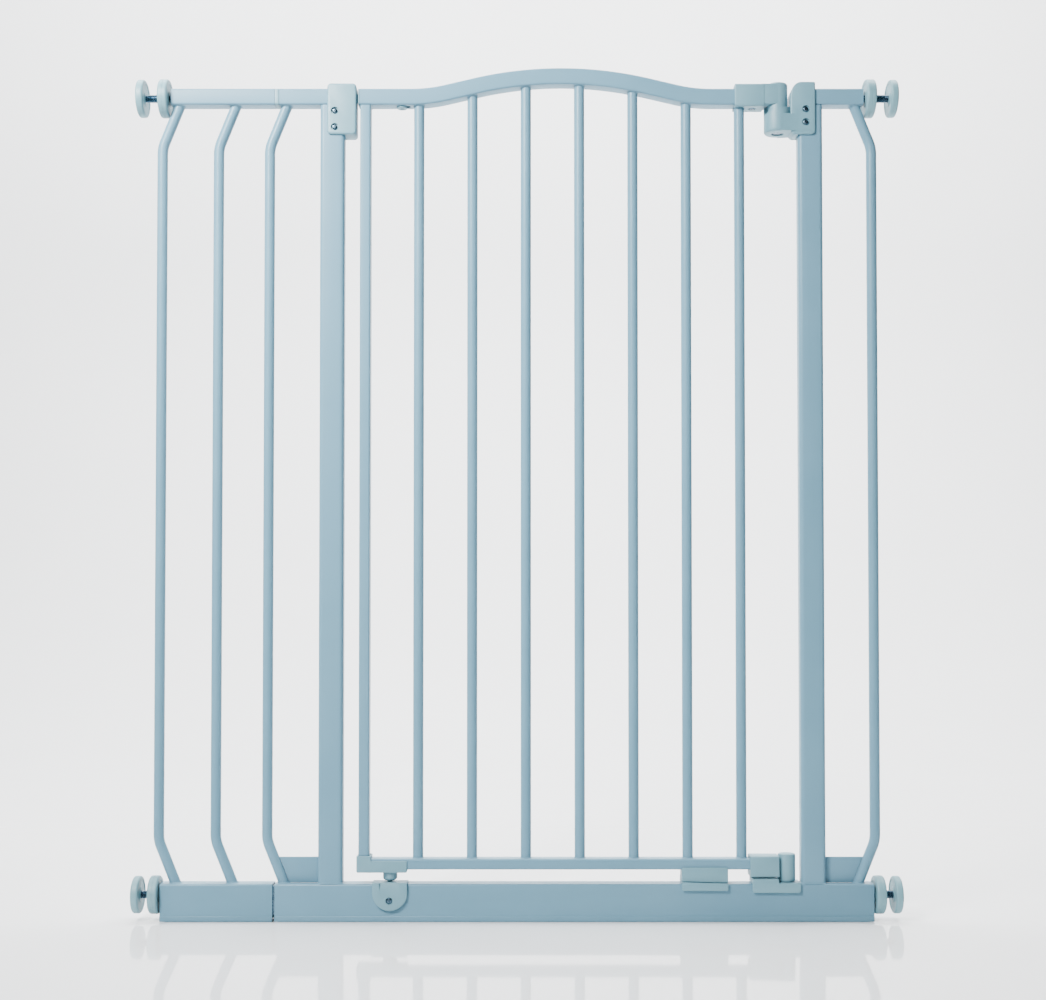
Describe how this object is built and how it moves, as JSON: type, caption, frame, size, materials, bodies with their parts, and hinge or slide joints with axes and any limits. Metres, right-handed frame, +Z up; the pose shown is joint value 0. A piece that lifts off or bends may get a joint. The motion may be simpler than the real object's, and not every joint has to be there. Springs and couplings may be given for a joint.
{
  "type": "pet gate",
  "caption": "Tall pressure-fit metal pet gate with an arched barred door on a rising hinge, a sliding latch, a floor bar, a side extension and screw-out wall cups.",
  "frame": {"origin": "on the floor under the middle of the gate's overall width and depth", "axes": "+X to the right as seen from the front, from the latch side to the hinge side; -Y to the front, the side that the door opens to; +Z up"},
  "size_m": [0.93, 0.046, 1.04],
  "materials": {
    "powder_coat": "satin pale blue-grey powder coat",
    "grey_plastic": "satin moulded plastic",
    "adjuster_plastic": "satin moulded plastic",
    "zinc": "bright zinc plate",
    "dark_steel": "blackened steel"
  },
  "bodies": {
    "frame": {"base_channel": "powder_coat", "base_connector": "zinc", "extension_base_channel": "powder_coat", "left_upright": "powder_coat", "right_upright": "powder_coat", "left_arm_tube": "powder_coat", "right_arm_tube": "powder_coat", "extension_top_tube": "powder_coat", "top_connector": "grey_plastic", "spindle_plug_left": "grey_plastic", "spindle_plug_right": "grey_plastic", "extension_outer_bar": "powder_coat", "extension_inner_bar": "powder_coat", "left_bent_bar": "powder_coat", "right_bent_bar": "powder_coat", "left_gusset": "powder_coat", "right_gusset": "powder_coat", "latch_receiver": "grey_plastic", "receiver_screw_upper": "zinc", "receiver_screw_lower": "zinc", "top_hinge_bracket": "grey_plastic", "bracket_screw_upper": "zinc", "bracket_screw_lower": "zinc", "bottom_hinge_base": "grey_plastic", "lower_catch": "grey_plastic", "catch_screw": "zinc", "lower_stop_block": "grey_plastic"},
    "hinge_pins": {"top_hinge_pin": "zinc", "bottom_hinge_pin": "zinc"},
    "door": {"door_top_rail": "powder_coat", "rail_end_cap": "grey_plastic", "door_stile": "powder_coat", "door_bottom_rail": "powder_coat", "door_bar_1": "powder_coat", "door_bar_2": "powder_coat", "door_bar_3": "powder_coat", "door_bar_4": "powder_coat", "door_bar_5": "powder_coat", "door_bar_6": "powder_coat", "door_bar_7": "powder_coat", "top_hinge_sleeve": "grey_plastic", "sleeve_screw": "zinc", "bottom_hinge_knuckle": "grey_plastic", "corner_bracket": "grey_plastic", "locking_foot": "grey_plastic", "upper_stop_block": "grey_plastic"},
    "latch": {"latch_slide": "grey_plastic"},
    "door_pin": {"locking_pin": "dark_steel"},
    "wheel_top_left": {"wheel_top_left": "adjuster_plastic"},
    "foot_top_left": {"spindle_top_left": "zinc", "wall_cup_top_left": "adjuster_plastic"},
    "wheel_bottom_left": {"wheel_bottom_left": "adjuster_plastic"},
    "foot_bottom_left": {"spindle_bottom_left": "zinc", "wall_cup_bottom_left": "adjuster_plastic"},
    "wheel_top_right": {"wheel_top_right": "adjuster_plastic"},
    "foot_top_right": {"spindle_top_right": "zinc", "wall_cup_top_right": "adjuster_plastic"},
    "wheel_bottom_right": {"wheel_bottom_right": "adjuster_plastic"},
    "foot_bottom_right": {"spindle_bottom_right": "zinc", "wall_cup_bottom_right": "adjuster_plastic"}
  },
  "joints": [
    {"name": "door_swing", "type": "hinge", "parent": "frame", "child": "hinge_pins", "pos_m": [0.32, 0, 0], "axis": [0, 0, 1], "range_deg": [0, 90]},
    {"name": "door_rise", "type": "slide", "parent": "hinge_pins", "child": "door", "axis": [0, 0, 1], "range_m": [0, 0.0061]},
    {"name": "latch_release", "type": "slide", "parent": "door", "child": "latch", "axis": [1, 0, 0], "range_m": [0, 0.007], "stiffness_N_per_m": 300, "springref_m": -0.01},
    {"name": "pin_lift", "type": "slide", "parent": "door", "child": "door_pin", "axis": [0, 0, 1], "range_m": [0, 0.0045], "stiffness_N_per_m": 200, "springref_m": -0.01},
    {"name": "wheel_turn_top_left", "type": "hinge", "parent": "frame", "child": "wheel_top_left", "pos_m": [-0.432, 0, 1.0045], "axis": [1, 0, 0], "range_deg": [-2525, 5045]},
    {"name": "spindle_travel_top_left", "type": "slide", "parent": "frame", "child": "foot_top_left", "axis": [-1, 0, 0], "range_m": [-0.0105, 0.021]},
    {"name": "wheel_turn_bottom_left", "type": "hinge", "parent": "frame", "child": "wheel_bottom_left", "pos_m": [-0.432, 0, 0.0305], "axis": [1, 0, 0], "range_deg": [-2525, 5045]},
    {"name": "spindle_travel_bottom_left", "type": "slide", "parent": "frame", "child": "foot_bottom_left", "axis": [-1, 0, 0], "range_m": [-0.0105, 0.021]},
    {"name": "wheel_turn_top_right", "type": "hinge", "parent": "frame", "child": "wheel_top_right", "pos_m": [0.432, 0, 1.0045], "axis": [-1, 0, 0], "range_deg": [-2525, 5045]},
    {"name": "spindle_travel_top_right", "type": "slide", "parent": "frame", "child": "foot_top_right", "axis": [1, 0, 0], "range_m": [-0.0105, 0.021]},
    {"name": "wheel_turn_bottom_right", "type": "hinge", "parent": "frame", "child": "wheel_bottom_right", "pos_m": [0.432, 0, 0.0305], "axis": [-1, 0, 0], "range_deg": [-2525, 5045]},
    {"name": "spindle_travel_bottom_right", "type": "slide", "parent": "frame", "child": "foot_bottom_right", "axis": [1, 0, 0], "range_m": [-0.0105, 0.021]}
  ],
  "couplings": [
    {"joint": "door_rise", "follows": "door_swing", "m_per_rad": 0.0038197},
    {"joint": "wheel_turn_top_left", "follows": "spindle_travel_top_left", "rad_per_m": 4188.8},
    {"joint": "wheel_turn_bottom_left", "follows": "spindle_travel_bottom_left", "rad_per_m": 4188.8},
    {"joint": "wheel_turn_top_right", "follows": "spindle_travel_top_right", "rad_per_m": 4188.8},
    {"joint": "wheel_turn_bottom_right", "follows": "spindle_travel_bottom_right", "rad_per_m": 4188.8}
  ]
}
